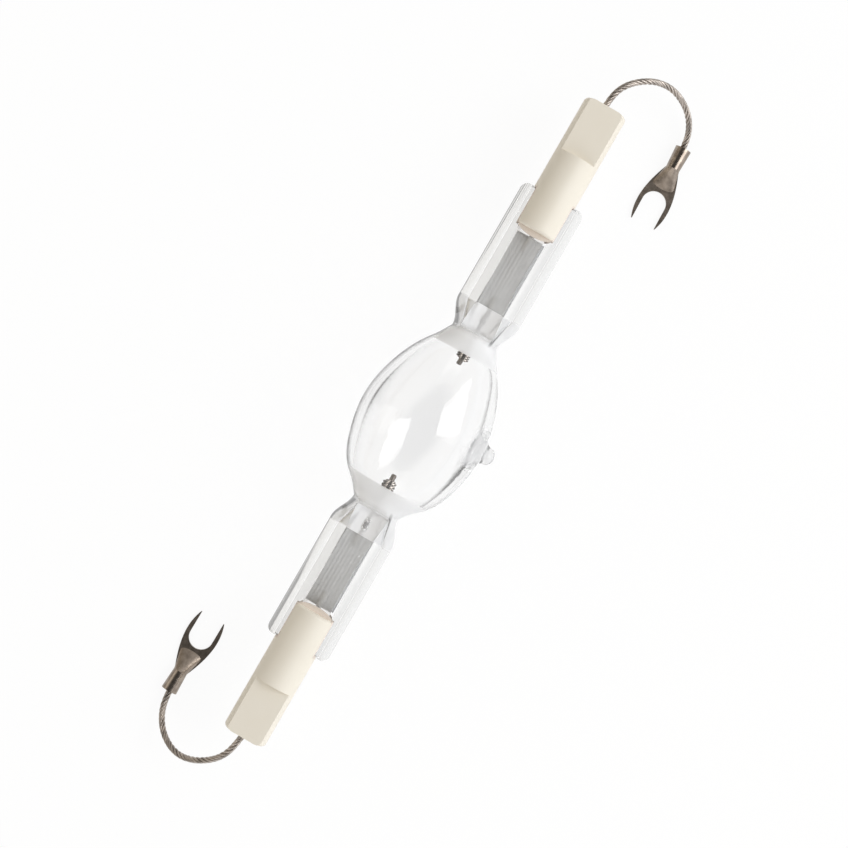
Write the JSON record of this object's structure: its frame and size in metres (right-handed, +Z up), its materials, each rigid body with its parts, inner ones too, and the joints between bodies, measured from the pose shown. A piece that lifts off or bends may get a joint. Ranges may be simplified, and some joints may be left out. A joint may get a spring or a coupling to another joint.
{
  "type": "metal halide lamp",
  "caption": "Double-ended quartz discharge lamp with pinch seals, slotted ceramic caps and stranded leads that end in fork terminals.",
  "frame": {"origin": "middle of the lamp on its axis, halfway between the outer ends of the two caps", "axes": "+X along the lamp's axis, +Z up and square to the flat seals, with the exhaust tip pointing to -Y"},
  "size_m": [0.2165, 0.0554, 0.0348],
  "materials": {
    "quartz": "clear bulb and necks, frosted seals, grey haze on the bulb's ends",
    "tungsten": "dark drawn wire",
    "molybdenum": "matt rolled foil and pin",
    "cap_ceramic": "smooth unglazed cream",
    "cement": "matt",
    "nickel": "matt",
    "strand": "twisted bare strands",
    "terminal": "satin, browned"
  },
  "bodies": {
    "root": {"quartz_envelope": "quartz", "electrode_rod_left": "tungsten", "electrode_rod_right": "tungsten", "electrode_coil_left": "tungsten", "electrode_coil_right": "tungsten", "shank_wrap_left": "tungsten", "shank_wrap_right": "tungsten", "seal_foil_left": "molybdenum", "seal_foil_right": "molybdenum", "outer_pin_left": "molybdenum", "outer_pin_right": "molybdenum", "ceramic_cap_left": "cap_ceramic", "ceramic_cap_right": "cap_ceramic", "cap_cement_left": "cement", "cap_cement_right": "cement", "joint_sleeve_left": "nickel", "joint_sleeve_right": "nickel", "lead_left": "strand", "lead_right": "strand", "fork_terminal_left": "terminal", "fork_terminal_right": "terminal"}
  },
  "joints": []
}
